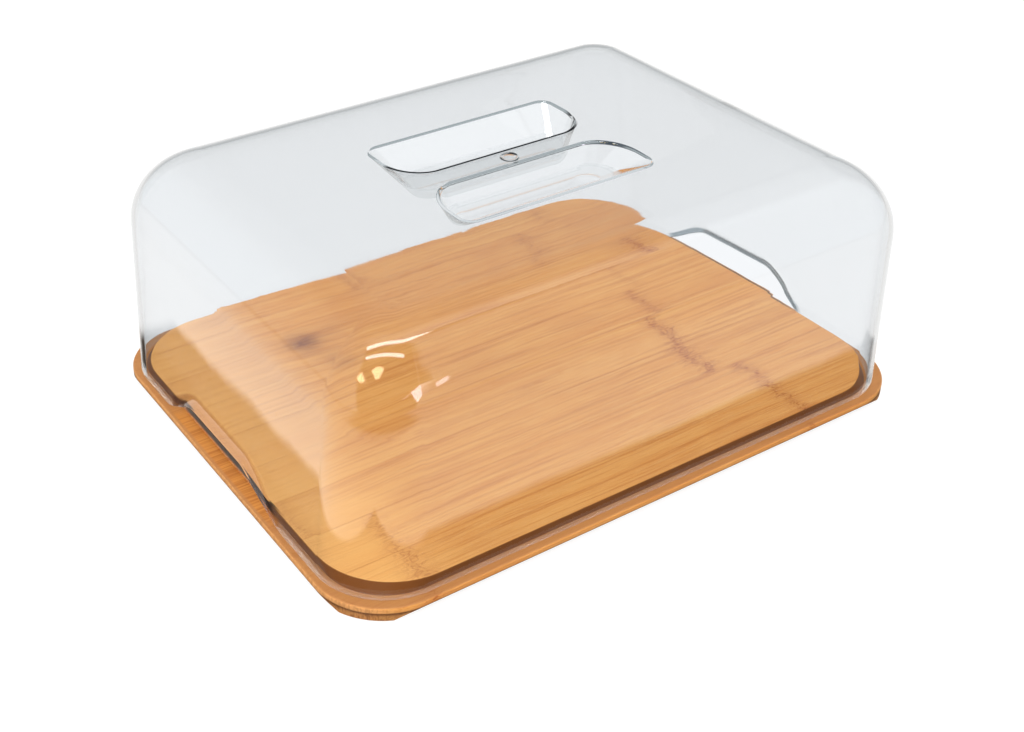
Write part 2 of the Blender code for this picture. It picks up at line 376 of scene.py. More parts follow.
def paint_upper_light_and_shade(tree, colour, place, up, fibres):
    """Painted shade on the milled wall and the ledge, and painted light and shadow by the
    notches.
    """
    x, y, z = place
    # painted shade: the milled wall is darkened deep brown, as the shaded groove inside the
    # cover's foot
    wall = tree.product(
        tree.ramp(tree.absolute(up), start=0.97, end=0.90),
        tree.ramp(z, start=LEDGE_Z + 0.10 * MM, end=LEDGE_Z + 0.5 * MM),
        tree.ramp(z, start=TOP_Z - 0.05 * MM, end=TOP_Z - 0.35 * MM),
    )
    colour = tree.tint(colour, wall, strength=0.96, target=rgb(116, 61, 0))
    # painted shade: the ledge is darkened where the cover's foot stands over it
    ledge = tree.product(
        tree.ramp(z, start=LEDGE_Z + 0.5 * MM, end=LEDGE_Z),
        tree.ramp(up, start=0.6, end=0.95),
    )
    colour = tree.tint(colour, ledge, strength=0.75, target=rgb(156, 102, 56))
    # painted light: under the cover's finger notches the ledge is painted as lit, orange along
    # its fibres
    from_notch = tree.absolute(tree.subtract(y, NOTCH_Y))
    open_y = tree.ramp(from_notch, start=52 * MM, end=40 * MM)
    lit_ledge = tree.product(
        open_y,
        tree.ramp(tree.absolute(x), start=142.0 * MM, end=142.6 * MM),
        tree.ramp(tree.absolute(x), start=149.0 * MM, end=147.5 * MM),
        tree.ramp(z, start=LEDGE_Z - 0.6 * MM, end=LEDGE_Z - 0.2 * MM),
    )
    along_fibres = tree.ramp(fibres, start=0.38, end=0.66)
    lit_streak = tree.mix(along_fibres, rgb(194, 124, 46), rgb(164, 94, 26))
    colour = tree.tint(colour, lit_ledge, strength=0.85, target=lit_streak)
    # painted shadow: by the notches the milled wall's top goes nearly black under the cover's
    # lip
    rim = tree.product(
        tree.ramp(tree.absolute(x), start=141.4 * MM, end=141.9 * MM),
        tree.ramp(z, start=7.2 * MM, end=8.2 * MM),
    )
    shadow = tree.product(open_y, rim)
    return tree.tint(colour, shadow, strength=0.96, target=rgb(30, 14, 4))


def bamboo(name, bands, tone, seed, seam_low, seam_high, wood):
    """One strip's wood. The grain runs along X, and the strip's ends show end grain."""
    material, tree = new_material(name)
    coords = tree.coords()
    x, y, z = tree.split(coords)
    normal = tree.split(tree.coords("Normal"))
    face_x = tree.absolute(normal[0])
    shift = (seed * 3.17, seed * 7.31, seed * 1.93)

    def texture(vector, scale, detail, roughness=0.5):
        return tree.noise(vector, scale, detail, roughness, offset=shift)

    # slow wander of the grain, so that its lines aren't ruled
    wander = texture(coords, scale=(9.0, 26.0, 26.0), detail=2.0)
    bent_y = tree.add(y, tree.centred(wander, reach=0.0045))
    grain = tree.filled("ShaderNodeCombineXYZ", {0: x, 1: bent_y, 2: z})

    broad = texture(grain, scale=(6.0, 170.0, 170.0), detail=3.0, roughness=0.6)
    fibres = texture(grain, scale=(16.0, 820.0, 820.0), detail=3.0, roughness=0.62)
    fine = texture(grain, scale=(95.0, 2100.0, 2100.0), detail=2.0, roughness=0.6)
    lines = texture(grain, scale=(8.0, 430.0, 430.0), detail=2.0)
    dark_lines = tree.ramp(lines, start=0.60, end=0.68)
    pale_lines = tree.ramp(lines, start=0.40, end=0.33)
    cloud = texture(coords, scale=(22.0, 38.0, 38.0), detail=2.0)

    lean = tree.add(tree.ramp(broad, start=0.30, end=0.70), tone * 1.6)
    colour = tree.tint(wood.pale, lean, strength=0.75, target=wood.middle, clamp=True)
    for mask, strength, target in (
        (tree.ramp(fibres, start=0.47, end=0.66), 0.46, wood.deep),
        (dark_lines, 0.50, wood.deep),
        (pale_lines, 0.30, rgb(212, 164, 98)),
        (tree.ramp(fine, start=0.46, end=0.64), 0.26, rgb(214, 166, 100)),
        (tree.ramp(cloud, start=0.45, end=0.75), 0.22 + max(0.0, tone), rgb(178, 108, 50)),
    ):
        colour = tree.tint(colour, mask, strength, target)

    # wavering shifts and speckles shared by the bands and the knots
    rag = texture(coords, scale=(60.0, 210.0, 210.0), detail=3.0, roughness=0.65)
    rag_shift = tree.centred(rag, reach=0.013)
    slow = texture(coords, scale=(12.0, 70.0, 70.0), detail=1.0)
    slow_shift = tree.centred(slow, reach=0.006)
    moved_x = tree.add(tree.add(x, rag_shift), slow_shift)
    fleck = texture(coords, scale=(160.0, 900.0, 900.0), detail=2.0, roughness=0.6)
    fleck = tree.ramp(fleck, start=0.35, end=0.62)
    curls = texture(coords, scale=(190.0, 330.0, 330.0), detail=1.0)
    curls = tree.math("PINGPONG", tree.product(curls, 5.0), 0.5)
    curls = tree.ramp(curls, start=0.22, end=0.06)
    band_total = node_bands(tree, bands, moved_x, fleck, curls)
    if wood is UPPER_WOOD:
        knots = knot_spots(tree, x, y, rag_shift, slow_shift, fleck, seam_low, seam_high)
        if knots:
            knot_colour = rgb(118, 62, 32)
            colour = tree.tint(colour, knots, strength=0.90, target=knot_colour, clamp=True)
    if bands:
        colour = tree.tint(colour, band_total, strength=0.95, target=wood.band, clamp=True)

    if wood is UPPER_WOOD:
        # painted light: the top surface is lit paler towards its -X end
        left_end_light = tree.product(
            tree.ramp(x, start=-0.085, end=-0.132),
            tree.ramp(z, start=TOP_Z - 0.6 * MM, end=TOP_Z - 0.2 * MM),
        )
        colour = tree.tint(colour, left_end_light, strength=0.40, target=rgb(246, 188, 112))

    # glue lines show as slightly darker edges of each strip
    edge_low = tree.gauss(y, seam_low, width=0.35 * MM)
    edge_high = tree.gauss(y, seam_high, width=0.35 * MM)
    edges = tree.add(edge_low, edge_high)
    colour = tree.tint(colour, edges, strength=0.30, target=wood.deep, clamp=True)

    # end grain: short dark dots and lines where the strip is cut across
    dots = texture(coords, scale=(1100.0, 1100.0, 300.0), detail=2.0, roughness=0.6)
    pores = tree.ramp(dots, start=0.46, end=0.62)
    end_colour = tree.tint(wood.end, pores, wood.pore_strength, target=rgb(112, 64, 24))
    colour = tree.mix(tree.ramp(face_x, start=0.25, end=0.70), colour, end_colour)
    # painted shade where the upper layer overhangs the lower, drawn as a dark glue line
    joint = tree.gauss(z, LAYER_Z, wood.joint_shade_width)
    colour = tree.tint(colour, joint, wood.joint_shade_strength, target=rgb(84, 44, 14))
    if wood is UPPER_WOOD:
        colour = paint_upper_light_and_shade(tree, colour, (x, y, z), normal[2], fibres)

    # reflections inside the cover's wall carry hardly any of the wood's colour
    mirrored = tree.bounced(tree.light_path(), "Glossy", least=1)
    colour = tree.tint(colour, mirrored, strength=0.85, target=MIRRORED_WOOD)

    roughness = tree.multiply_add(fibres, factor=0.18, addend=wood.roughness)
    roughness = tree.math("MULTIPLY_ADD", band_total, 0.05, roughness, clamp=True)
    fine_height = tree.add(tree.product(fine, 0.35), tree.product(dark_lines, -0.5))
    height = tree.add(tree.product(fibres, 0.6), fine_height)
    inputs = {
        "Base Color": colour,
        "Roughness": roughness,
        "Specular IOR Level": 0.35,
        "Normal": tree.bump(height, strength=wood.bump, distance=0.00006),
    }
    tree.output(tree.filled("ShaderNodeBsdfPrincipled", inputs))
    return material


# ------------------------------------------------------------------- mesh helpers
def link_object(name, bm, group, materials=()):
    mesh = bpy.data.meshes.new(name)
    bm.to_mesh(mesh)
    bm.free()
    for material in materials:
        mesh.materials.append(material)
    new_object = bpy.data.objects.new(name, mesh)
    group.objects.link(new_object)
    return new_object


def rounded_outline(width, depth, radius):
    points = []
    for quarter, (side_x, side_y) in enumerate([(1, 1), (-1, 1), (-1, -1), (1, -1)]):
        for step in range(CORNER_STEPS + 1):
            angle = math.pi / 2 * (quarter + step / CORNER_STEPS)
            points.append(
                (
                    side_x * (width / 2 - radius) + radius * math.cos(angle),
                    side_y * (depth / 2 - radius) + radius * math.sin(angle),
                )
            )
    return points


def add_rings(bm, rings):
    """Joins rings of equally many points, and returns the first and last loops."""
    loops = [[bm.verts.new(point) for point in ring] for ring in rings]
    for low, high in zip(loops, loops[1:]):
        for index in range(len(low)):
            after = (index + 1) % len(low)
            bm.faces.new((low[index], low[after], high[after], high[index]))
    return loops[0], loops[-1]


def loft(rings, name):
    """A closed solid from stacked outlines, each [(x, y, z), ...] of equal length."""
    bm = bmesh.new()
    bottom, top = add_rings(bm, rings)
    bm.faces.new(bottom[::-1])
    bm.faces.new(top)
    bmesh.ops.recalc_face_normals(bm, faces=bm.faces)
    return link_object(name, bm, helpers)


def eased_rings(width, depth, radius, low, high, low_ease=0.0, high_ease=0.0):
    """Outlines of a slab whose lower and upper edges are rounded by these radii."""
    levels = []
    if low_ease:
        for step in range(4):
            turn = math.pi / 2 * step / 4
            inset = low_ease * (1 - math.sin(turn))
            levels.append((inset, low + low_ease * (1 - math.cos(turn))))
    levels.append((0.0, low + low_ease))
    levels.append((0.0, high - high_ease))
    if high_ease:
        for step in range(1, 6):
            turn = math.pi / 2 * step / 5
            inset = high_ease * (1 - math.cos(turn))
            levels.append((inset, high - high_ease * (1 - math.sin(turn))))
    rings = []
    for inset, z in levels:
        outline = rounded_outline(width - 2 * inset, depth - 2 * inset, radius - inset)
        rings.append([(x, y, z) for x, y in outline])
    return rings


def boolean(target, tool, operation):
    cut = target.modifiers.new(tool.name, "BOOLEAN")
    cut.operation = operation
    cut.object = tool
    cut.solver = "EXACT"


def evaluated_bmesh(source):
    """The object's mesh with its modifiers applied."""
    bpy.context.view_layer.update()
    graph = bpy.context.evaluated_depsgraph_get()
    mesh = bpy.data.meshes.new_from_object(source.evaluated_get(graph))
    bm = bmesh.new()
    bm.from_mesh(mesh)
    bpy.data.meshes.remove(mesh)
    return bm


def finish(piece, sharp_angle, part, node):
    piece.data.shade_smooth()
    piece.data.set_sharp_from_angle(angle=math.radians(sharp_angle))
    weighted = piece.modifiers.new("normals", "WEIGHTED_NORMAL")
    weighted.keep_sharp = True
    weighted.weight = 90
    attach(piece, part)
    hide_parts(node)


# ------------------------------------------------------------------- board
def upper_layer():
    """The ledge slab joined with the plateau, as one solid to cut strips from."""
    base_z = LAYER_Z + JOINT_GAP
    ledge = loft(
        eased_rings(BOARD_W, BOARD_D, BOARD_R, base_z, LEDGE_Z, JOINT_EDGE, RIM_EDGE),
        "upper_ledge",
    )
    rings = eased_rings(
        PLATEAU_W, PLATEAU_D, PLATEAU_R, LAYER_Z + PLATEAU_ROOT, LEDGE_Z + PLATEAU_LEAN_Z
    )
    # only the rings of the top's rounded edge are wanted, not the one at the ledge
    rings += eased_rings(
        PLATEAU_W, PLATEAU_D, PLATEAU_TOP_R, LEDGE_Z, TOP_Z, high_ease=PLATEAU_EDGE
    )[1:]
    boolean(ledge, loft(rings, "plateau"), "UNION")
    return link_object("upper_blank", evaluated_bmesh(ledge), helpers)


def lower_layer():
    """The lower slab, cut by a frustum so that its sides slope in towards the foot."""
    top_z = LAYER_Z - JOINT_GAP
    slab = loft(
        eased_rings(BOARD_W, BOARD_D, BOARD_R, 0.0, top_z, FOOT_EDGE, JOINT_EDGE),
        "lower_slab",
    )
    frustum = bmesh.new()
    bmesh.ops.create_cube(frustum, size=1.0)
    beyond = UNDERCUT * OVERLAP / LAYER_Z
    for vert in frustum.verts:
        inset = 0.0 if vert.co.z > 0 else UNDERCUT * (LAYER_Z + 2 * OVERLAP) / LAYER_Z
        vert.co.x = math.copysign(BOARD_W / 2 + beyond - inset, vert.co.x)
        vert.co.y = math.copysign(BOARD_D / 2 + beyond - inset, vert.co.y)
        vert.co.z = LAYER_Z + OVERLAP if vert.co.z > 0 else -OVERLAP
    boolean(slab, link_object("undercut", frustum, helpers), "INTERSECT")
    return link_object("lower_blank", evaluated_bmesh(slab), helpers)


def make_strip(node, y_range, z_range, blank, material):
    """One strip: the part of the layer's blank between these limits."""
    name = f"{node}_wood"
    bm = bmesh.new()
    bmesh.ops.create_cube(bm, size=1.0)
    for vert in bm.verts:
        vert.co.x *= BOARD_W + 4 * MM
        vert.co.y = y_range[0] if vert.co.y < 0 else y_range[1]
        vert.co.z = z_range[0] if vert.co.z < 0 else z_range[1]
    block = link_object(f"{name}_blank", bm, helpers)
    boolean(block, blank, "INTERSECT")
    bm = evaluated_bmesh(block)
    bmesh.ops.remove_doubles(bm, verts=bm.verts, dist=0.000002)
    bmesh.ops.triangulate(
        bm,
        faces=[face for face in bm.faces if len(face.verts) > 4],
        quad_method="BEAUTY",
        ngon_method="BEAUTY",
    )
    bmesh.ops.recalc_face_normals(bm, faces=bm.faces)
    for face in bm.faces:
        face.material_index = 0
    bpy.data.objects.remove(block, do_unlink=True)
    piece = link_object(name, bm, made, [material])
    finish(piece, sharp_angle=32, part="board", node=node)


upper_blank = upper_layer()
lower_blank = lower_layer()

for index in range(UPPER_COUNT):
    number = index + 1
    low_y = -BOARD_D / 2 + index * STRIP_PITCH
    high_y = low_y + STRIP_PITCH
    bands, tone = STRIPS.get(number, ((), 0.0))
    make_strip(
        f"upper_strip_{number}",
        (
            low_y + SEAM / 2 if index else low_y - 2 * OVERLAP,
            high_y - SEAM / 2 if index < UPPER_COUNT - 1 else high_y + 2 * OVERLAP,
        ),
        (LAYER_Z - OVERLAP, TOP_Z + 2 * OVERLAP),
        upper_blank,
        bamboo(f"bamboo_{number}", bands, tone, number, low_y, high_y, UPPER_WOOD),
    )

# The lower strips are half a pitch out of step, so that the seams don't line up.
for index in range(LOWER_COUNT):
    number = index + 1
    low_y = -BOARD_D / 2 + (index - 0.5) * STRIP_PITCH
    high_y = low_y + STRIP_PITCH
    bands = (((-90 + 53 * index) % 260 - 130, 0.5, 8),)  # as in STRIPS
    tone = 0.03 * (index % 3)
    name = f"bamboo_under_{number}"
    make_strip(
        f"lower_strip_{number}",
        (low_y + SEAM / 2, high_y - SEAM / 2),
        (-2 * OVERLAP, LAYER_Z + OVERLAP),
        lower_blank,
        bamboo(name, bands, tone, 20 + number, low_y, high_y, LOWER_WOOD_SHADED),
    )


# ------------------------------------------------------------------- cover's shape
def half_size(z, foot_half, draft):
    """Half the cover's width or depth at a height."""
    meet_z = SHOULDER_Z + SHOULDER * math.sin(draft)
    if z <= meet_z:
        return foot_half - (z - FOOT_Z) * math.tan(draft)
    meet = foot_half - (meet_z - FOOT_Z) * math.tan(draft)
    rise = min(z - SHOULDER_Z, SHOULDER)
    return meet - SHOULDER * math.cos(draft) + math.sqrt(max(0.0, SHOULDER**2 - rise**2))


def corner_radius(z):
    if z <= SHOULDER_Z:
        share = (z - FOOT_Z) / (SHOULDER_Z - FOOT_Z)
        return FOOT_R + (SHOULDER_R - FOOT_R) * share
    rise = min(z - SHOULDER_Z, SHOULDER)
    inset = 1 - math.sqrt(max(0.0, 1 - (rise / SHOULDER) ** 2))
    return SHOULDER_R + (PANEL_R - SHOULDER_R) * inset


def notch(y):
    """How far the foot's edge is raised at this place along a short wall."""
    share = (NOTCH_END - abs(y - NOTCH_Y)) / (NOTCH_END - NOTCH_FLAT)
    share = min(1.0, max(0.0, share))
    return NOTCH_H * share * share * (3 - 2 * share)


# Stations along a short wall: fine round each end of the notch, wider on its flat top.
NOTCH_YS = sorted(
    {
        round(NOTCH_Y + side * (NOTCH_FLAT + (NOTCH_END - NOTCH_FLAT) * step / NOTCH_STEPS), 9)
        for side in (-1, 1)
        for step in range(NOTCH_STEPS + 1)
    }
    | {round(NOTCH_Y + NOTCH_FLAT * step / 8, 9) for step in range(-7, 8)}
    | {side * 66 * MM for side in (-1, 1)}
)
# Heights above the foot line where the lower wall has sections, before it runs straight.
EDGE_HEIGHTS = [height * MM for height in (0.0, 0.5, 1.1, 1.8, 2.6, 3.5, 4.5, 5.8, 8.0)]
LONG_XS = [x * MM for x in range(-100, 101, 10)]


def section(height_at, flare_at):
    """One closed section; both functions take how far the notch raises the foot."""
    z = height_at(0.0)
    half_x = half_size(z, FOOT_W / 2, DRAFT_X)
    half_y = half_size(z, FOOT_D / 2, DRAFT_Y)
    radius = corner_radius(z)
    points = []
    for quarter, (side_x, side_y) in enumerate([(1, 1), (-1, 1), (-1, -1), (1, -1)]):
        for step in range(CORNER_STEPS + 1):
            angle = math.pi / 2 * (quarter + step / CORNER_STEPS)
            points.append(
                (
                    side_x * (half_x - radius) + radius * math.cos(angle),
                    side_y * (half_y - radius) + radius * math.sin(angle),
                    z,
                )
            )
        if quarter in (1, 3):
            for y in NOTCH_YS[::-1] if quarter == 1 else NOTCH_YS:
                raised = notch(y)
                wall_z = height_at(raised)
                x = half_size(wall_z, FOOT_W / 2, DRAFT_X) + flare_at(raised)
                points.append((side_x * x, y, wall_z))
        else:
            for x in LONG_XS[::-1] if quarter == 0 else LONG_XS:
                points.append((x, side_y * half_y, z))
    return points


def wall_section(level):
    """A section below the shoulder. Level 0 follows the foot and its notches."""
    edge_levels = len(EDGE_HEIGHTS)

    def height_at(raised):
        z = FOOT_Z + raised
        if level < edge_levels:
            return z + EDGE_HEIGHTS[level]
        z += EDGE_HEIGHTS[-1]
        share = (level - edge_levels + 1) / (WALL_LEVELS - edge_levels + 1)
        return z + (SHOULDER_Z - z) * share

    def flare_at(raised):
        if level >= edge_levels:
            return 0.0
        left = max(0.0, 1 - EDGE_HEIGHTS[level] / FLARE_H)
        return FLARE * left * left * min(1.0, raised / NOTCH_H * FLARE_GAIN)

    return section(height_at, flare_at)


def shoulder_section(step):
    height = SHOULDER_Z + SHOULDER * math.sin(math.pi / 2 * step / SHOULDER_STEPS)
    return section(lambda raised: height, lambda raised: 0.0)


def pocket_outline(half_x, near, far, near_rx, near_ry, far_r):
    """A rounded rectangle on the +Y side, its corners near the bridge elliptical."""
    corners = [
        (half_x, far, far_r, far_r),
        (-half_x, far, far_r, far_r),
        (-half_x, near, near_rx, near_ry),
        (half_x, near, near_rx, near_ry),
    ]
    points = []
    for quarter, (x, y, radius_x, radius_y) in enumerate(corners):
        centre_x = x - math.copysign(radius_x, x)
        centre_y = y - radius_y if quarter < 2 else y + radius_y
        for step in range(POCKET_STEPS + 1):
            angle = math.pi / 2 * (quarter + step / POCKET_STEPS)
            points.append(
                (centre_x + radius_x * math.cos(angle), centre_y + radius_y * math.sin(angle))
            )
    return points


def pocket_rings(mouth, floor_line):
    """Rings from the mouth's rounded lip down the wall and round the floor's fillet."""
    rings = [[] for _ in range(LIP_STEPS + FILLET_STEPS + 2)]
    for (mouth_x, mouth_y), (floor_x, floor_y) in zip(mouth, floor_line):
        run = math.hypot(floor_x - mouth_x, floor_y - mouth_y)
        inward_x, inward_y = (floor_x - mouth_x) / run, (floor_y - mouth_y) / run
        slope = math.atan2(POCKET_DEPTH, run)
        lip_reach = LIP_R * math.tan(slope / 2)
        fillet_reach = FLOOR_FILLET * math.tan(slope / 2)
        profile = []
        for step in range(LIP_STEPS + 1):
            turn = slope * step / LIP_STEPS
            along = -lip_reach + LIP_R * math.sin(turn)
            profile.append((along, LIP_R * (1 - math.cos(turn))))
        for step in range(FILLET_STEPS + 1):
            turn = slope * (1 - step / FILLET_STEPS)
            along = run + fillet_reach - FLOOR_FILLET * math.sin(turn)
            profile.append((along, POCKET_DEPTH - FLOOR_FILLET * (1 - math.cos(turn))))
        for ring, (along, drop) in zip(rings, profile):
            x, y = mouth_x + inward_x * along, mouth_y + inward_y * along
            ring.append((x, y, COVER_TOP - drop))
    return rings


def gate_rings():
    rings = []
    for radius, drop in (
        (GATE_R + 0.25 * MM, 0.0),
        (GATE_R, 0.05 * MM),
        (GATE_R - 0.35 * MM, 0.25 * MM),
        (GATE_R - 0.8 * MM, GATE_DEPTH - 0.05 * MM),
        (GATE_R - 1.1 * MM, GATE_DEPTH),
    ):
        angles = [math.tau * step / GATE_STEPS for step in range(GATE_STEPS)]
        z = COVER_TOP - drop
        rings.append([(radius * math.cos(a), radius * math.sin(a), z) for a in angles])
    return rings


def loop_edges(bm, loop):
    return [
        bm.edges.get(pair) or bm.edges.new(pair) for pair in zip(loop, loop[1:] + loop[:1])
    ]


def cover_surface():
    """The cover's outer surface, with its normals outward."""
    shell = bmesh.new()
    rings = [wall_section(level) for level in range(WALL_LEVELS + 1)]
    rings += [shoulder_section(step) for step in range(1, SHOULDER_STEPS + 1)]
    _, panel_loop = add_rings(shell, rings)
    edges = loop_edges(shell, panel_loop)
    mouth = pocket_outline(
        POCKET_X, POCKET_IN, POCKET_OUT, MOUTH_NEAR_RX, MOUTH_NEAR_RY, MOUTH_FAR_R
    )
    floor_line = pocket_outline(
        FLOOR_X, FLOOR_IN, FLOOR_OUT, FLOOR_NEAR_RX, FLOOR_NEAR_RY, FLOOR_FAR_R
    )
    recesses = [
        [[(x, side * y, z) for x, y, z in ring] for ring in pocket_rings(mouth, floor_line)]
        for side in (1, -1)
    ]
    recesses.append(gate_rings())
    for recess in recesses:
        lip_loop, bottom_loop = add_rings(shell, recess)
        edges += loop_edges(shell, lip_loop)
        shell.faces.new(bottom_loop)
    # the flat top, filled between its outline and the recesses
    bmesh.ops.triangle_fill(shell, edges=edges, use_beauty=True)
    bmesh.ops.recalc_face_normals(shell, faces=shell.faces)
    top_face = max(shell.faces, key=lambda face: face.calc_center_median().z)
    if top_face.normal.z < 0:
        bmesh.ops.reverse_faces(shell, faces=shell.faces)
    return shell


# ------------------------------------------------------------------- cover's materials
CLEAR_TINT = (0.955, 0.962, 0.965, 1.0)
# painted shade: the dark line on the +Y pocket's lip beside the bridge
PAINTED_LINE_SHADE = (0.004, 0.004, 0.005, 1.0)
NEAR_LIP_REFLECTION = (0.70, 0.62, 0.60, 1.0)  # painted reflection on the -X notch's lip, pinkish
FAR_LIP_REFLECTION = (0.36, 0.42, 0.45, 1.0)  # painted reflection on the +X notch's lip, grey-blue
PASSING_TINT = (0.965, 0.968, 0.97, 1.0)  # of light that passes straight through
# What light trapped in the plastic comes out as, by place.
TRAPPED = (0.66, 0.71, 0.74, 1.0)
TRAPPED_TOP = (0.36, 0.41, 0.43, 1.0)
TRAPPED_FRONT_LIP = (0.13, 0.16, 0.165, 1.0)
TRAPPED_SIDE_LIPS = (0.07, 0.09, 0.11, 1.0)
TRAPPED_BRIDGE_LIP = (0.008, 0.009, 0.011, 1.0)
TRAPPED_LOW = (0.15, 0.072, 0.020, 1.0)
# painted glow on the curve round the pockets' floors
FILLET_GLOW = (0.78, 0.81, 0.83, 1.0)
# the painted dark line's near-black glow
PAINTED_LINE_GLOW = (0.006, 0.007, 0.009, 1.0)
# The painted dark lip line is measured on an ellipse with these half axes.
LIP_LINE_RX = 17.8 * MM
LIP_LINE_RY = 21.8 * MM


def painted_lip_line(tree, x, y, z):
    """Mask of the painted dark line on the lip beside the bridge, on the +Y pocket, a line of
    painted shade.
    """
    outer = tree.subtract(tree.absolute(x), POCKET_X - MOUTH_NEAR_RX)
    across = tree.divide(tree.maximum(outer, 0.0), LIP_LINE_RX)
    back = tree.offset(y, POCKET_IN + MOUTH_NEAR_RY, LIP_LINE_RY)
    square = tree.add(tree.product(across, across), tree.product(back, back))
    reach = tree.math("SQRT", square)
    lip = tree.band(reach, first=(1.020, 1.008), second=(0.935, 0.950))
    high = tree.ramp(z, start=0.1132, end=0.1135)
    side = tree.ramp(x, start=0.0470, end=0.0400)
    along = tree.band(y, first=(0.0230, 0.0190), second=(0.0010, 0.0020))
    return tree.product(lip, tree.product(high, side), along)


def plastic_colour_with_painted_lips(tree, x, y, z, line):
    """Clear, with a painted dark line on the bridge lip and painted reflections on the
    notches' flared lips.
    """
    from_notch = tree.absolute(tree.subtract(y, NOTCH_Y))
    edge_height = tree.ramp(from_notch, NOTCH_END, NOTCH_FLAT, to_start=0.0, to_end=NOTCH_H)
    above = tree.subtract(z, tree.add(edge_height, FOOT_Z))
    flare = tree.product(
        tree.ramp(edge_height, start=1.0 * MM, end=3.5 * MM),
        tree.ramp(tree.absolute(x), start=0.136, end=0.139),
    )
    near_lip_reflection = tree.product(
        flare,
        tree.ramp(x, start=0.01, end=-0.01),
        tree.ramp(above, start=6.0 * MM, end=4.5 * MM),
    )
    far_lip_reflection = tree.product(
        flare,
        tree.ramp(x, start=-0.01, end=0.01),
        tree.ramp(above, start=3.0 * MM, end=2.4 * MM),
    )
    tint = tree.mix(line, CLEAR_TINT, PAINTED_LINE_SHADE)
    tint = tree.mix(near_lip_reflection, tint, NEAR_LIP_REFLECTION)
    return tree.mix(far_lip_reflection, tint, FAR_LIP_REFLECTION)


def trapped_shade(tree, x, y, z):
    """The colour of trapped light, from the pockets' lips down to the foot."""
    on_top = tree.ramp(z, start=0.1075, end=0.1090)
    bridge_lip = tree.product(
        tree.band(y, first=(0.0300, 0.0240), second=(0.0020, 0.0035)),
        on_top,
        tree.ramp(tree.absolute(x), start=0.0560, end=0.0540),
    )
    front_lip = tree.product(
        tree.band(y, first=(-0.0150, -0.0120), second=(-0.0020, -0.0035)), on_top
    )
    right_lip = tree.product(
        tree.band(x, first=(0.0240, 0.0330), second=(0.0560, 0.0540)),
        tree.band(y, first=(-0.0340, -0.0260), second=(-0.0020, -0.0035)),
    )
    left_lip = tree.product(
        tree.band(x, first=(-0.0140, -0.0260), second=(-0.0560, -0.0540)),
        tree.band(y, first=(-0.0280, -0.0330), second=(-0.0480, -0.0460)),
    )
    side_lips = tree.product(tree.maximum(right_lip, left_lip), on_top)
    shade = tree.mix(tree.ramp(z, start=0.1095, end=0.1110), TRAPPED, TRAPPED_TOP)
    shade = tree.tint(shade, front_lip, strength=0.80, target=TRAPPED_FRONT_LIP)
    shade = tree.mix(side_lips, shade, TRAPPED_SIDE_LIPS)
    shade = tree.mix(bridge_lip, shade, TRAPPED_BRIDGE_LIP)
    return tree.mix(tree.ramp(z, start=0.034, end=0.022), shade, TRAPPED_LOW)


def fillet_mask(tree, x, y, z):
    """Mask of the curve round the pockets' floors."""
    lean = tree.absolute(tree.split(tree.coords("Normal"))[2])
    return tree.product(
        tree.band(z, first=(0.0968, 0.0978), second=(0.1042, 0.1030)),
        tree.band(lean, first=(0.9995, 0.997), second=(0.10, 0.20)),
        tree.product(
            tree.ramp(tree.absolute(x), start=0.0560, end=0.0540),
            tree.ramp(tree.absolute(y), start=0.0480, end=0.0460),
        ),
    )


def clear_plastic():
    """Clear moulded plastic. Lamps and soft light pass straight through it."""
    material, tree = new_material("clear_plastic")
    coords = tree.coords()
    drift = tree.noise(coords, scale=(26.0, 26.0, 26.0), detail=1.5)
    ripple = tree.noise(coords, scale=(90.0, 90.0, 90.0), detail=1.0)
    height = tree.multiply_add(ripple, factor=0.08, addend=drift)
    smear = tree.noise(coords, scale=(14.0, 14.0, 30.0), detail=3.0)
    x, y, z = tree.split(coords)
    line = painted_lip_line(tree, x, y, z)
    inputs = {
        "Base Color": plastic_colour_with_painted_lips(tree, x, y, z, line),
        "Transmission Weight": 1.0,
        "IOR": 1.49,
        "Roughness": tree.ramp(smear, start=0.35, end=0.8, to_start=0.004, to_end=0.035),
        "Normal": tree.bump(height, strength=0.35, distance=0.0005),
    }
    body = tree.filled("ShaderNodeBsdfPrincipled", inputs)
    path = tree.light_path()
    through = tree.maximum(path["Is Shadow Ray"], tree.bounced(path, "Diffuse", least=1))
    clear = tree.filled("ShaderNodeBsdfTransparent", {"Color": PASSING_TINT})
    plastic = tree.mix_shader(through, body, clear)

    # light that stays trapped in the wall comes out as a soft grey, and the curve round the
    # pockets' floors gets a painted pale glow, also straight on
    fillet = fillet_mask(tree, x, y, z)
    shade = tree.mix(fillet, trapped_shade(tree, x, y, z), FILLET_GLOW)
    held = tree.bounced(path, "Glossy", least=2)
    amount = tree.maximum(held, tree.product(fillet, 0.70))
    # painted shade: the lip line is drawn near black straight on and in reflections
    painted_line = tree.product(line, 0.90)
    trapped = tree.filled("ShaderNodeEmission", {"Color": tree.mix(painted_line, shade, PAINTED_LINE_GLOW)})
    painted_line_seen = tree.product(painted_line, tree.subtract(1.0, through))
    tree.output(tree.mix_shader(tree.maximum(amount, painted_line_seen), plastic, trapped))
    return material


